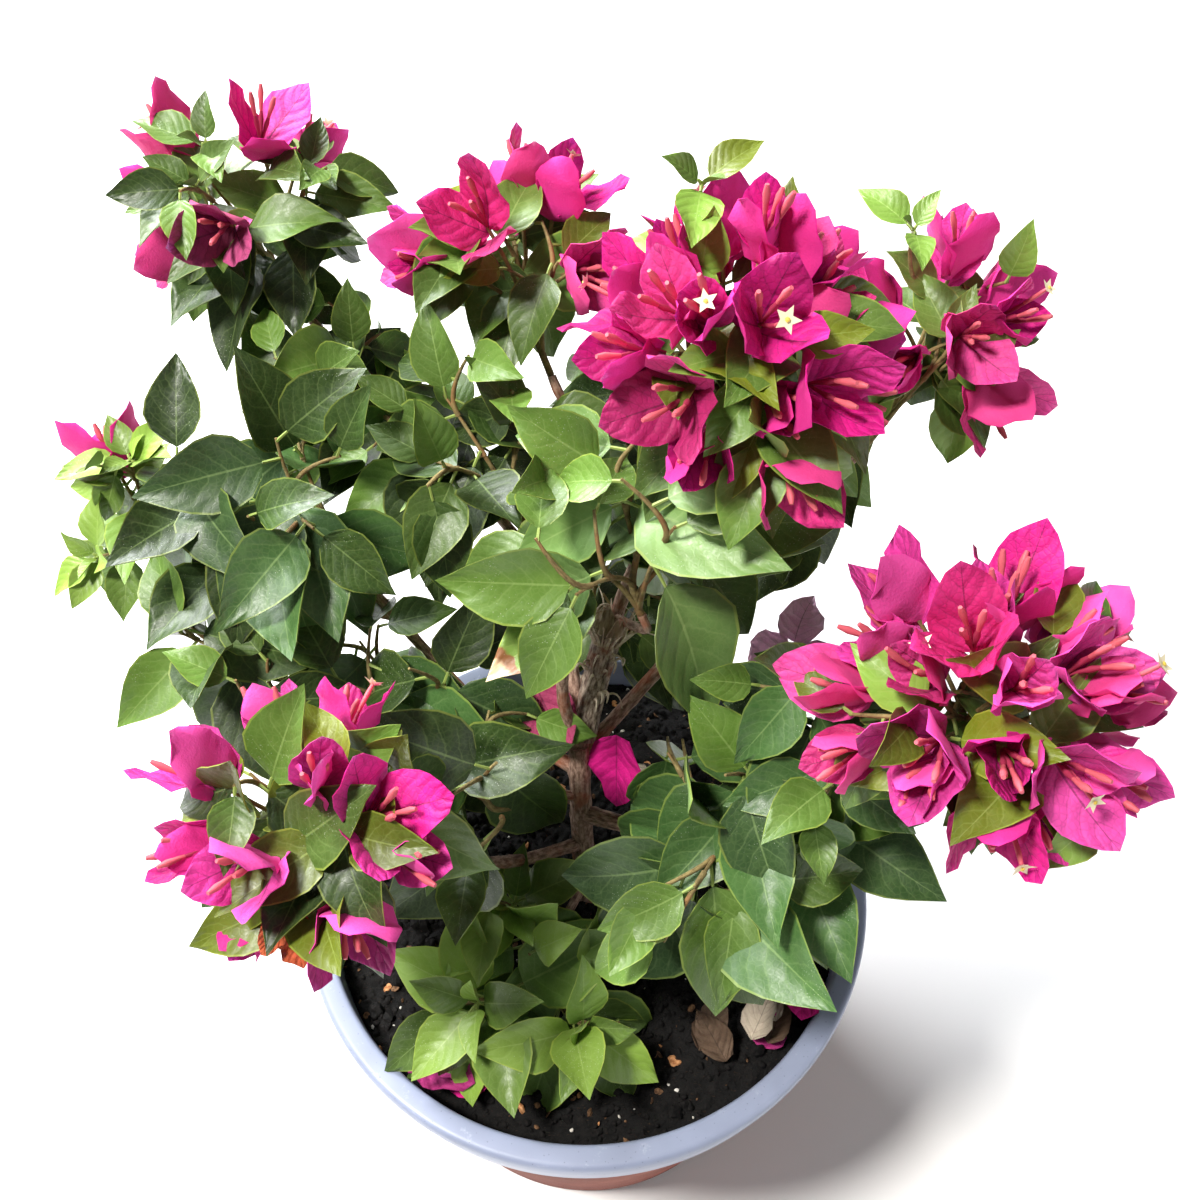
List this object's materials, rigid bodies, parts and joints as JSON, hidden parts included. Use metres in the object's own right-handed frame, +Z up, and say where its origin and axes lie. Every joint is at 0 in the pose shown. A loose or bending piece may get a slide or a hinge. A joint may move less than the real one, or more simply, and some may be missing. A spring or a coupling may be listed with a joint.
{
  "type": "potted bougainvillea bush",
  "caption": "Small bougainvillea bush in its pot: a short woody trunk with a broken stub, arching boughs, and masses of green leaves and magenta papery bracts.",
  "frame": {"origin": "centre of the pot's flat underside, on the surface that it stands on", "axes": "+Z up, -Y towards the side that the plant is looked at from, +X to that viewer's right"},
  "size_m": [0.4237, 0.4062, 0.5],
  "materials": {
    "pot_body": "matt terracotta colour, the tapered body of the pot",
    "pot_rim": "satin pale blue-grey, the collar and rolled lip of the pot",
    "soil": "dark crumbly potting mix with bark chips and perlite",
    "bark": "rough grey-brown bark with nodes",
    "foliage": "satin green leaves with pale midribs and edges",
    "blossom_spray": "papery magenta bracts with slim pink tubes, among young leaves"
  },
  "bodies": {
    "root": {"pot_body": "pot_body", "pot_rim": "pot_rim", "soil": "soil", "trunk": "bark", "broken_stub": "bark", "bough_big_centre": "bark", "bough_right": "bark", "bough_leader": "bark", "bough_top_middle": "bark", "bough_top_left": "bark", "bough_right_back": "bark", "bough_front_left": "bark", "bough_left": "bark", "bough_far_left": "bark", "bough_left_low": "bark", "bough_left_middle": "bark", "bough_inner_left": "bark", "bough_centre": "bark", "bough_front_inner": "bark", "bough_right_low": "bark", "bough_right_middle": "bark", "bough_front_low": "bark", "bough_back_right": "bark", "bough_back": "bark", "bough_back_low": "bark", "foliage_big_centre": "blossom_spray", "foliage_right": "blossom_spray", "foliage_leader": "foliage", "foliage_top_middle": "blossom_spray", "foliage_top_left": "blossom_spray", "foliage_right_back": "blossom_spray", "foliage_front_left": "blossom_spray", "foliage_left": "foliage", "foliage_far_left": "blossom_spray", "foliage_left_low": "foliage", "foliage_left_middle": "foliage", "foliage_inner_left": "foliage", "foliage_centre": "foliage", "foliage_front_inner": "foliage", "foliage_right_low": "foliage", "foliage_right_middle": "foliage", "foliage_front_low": "foliage", "foliage_back_right": "foliage", "foliage_back": "foliage", "foliage_back_low": "foliage"}
  },
  "joints": []
}
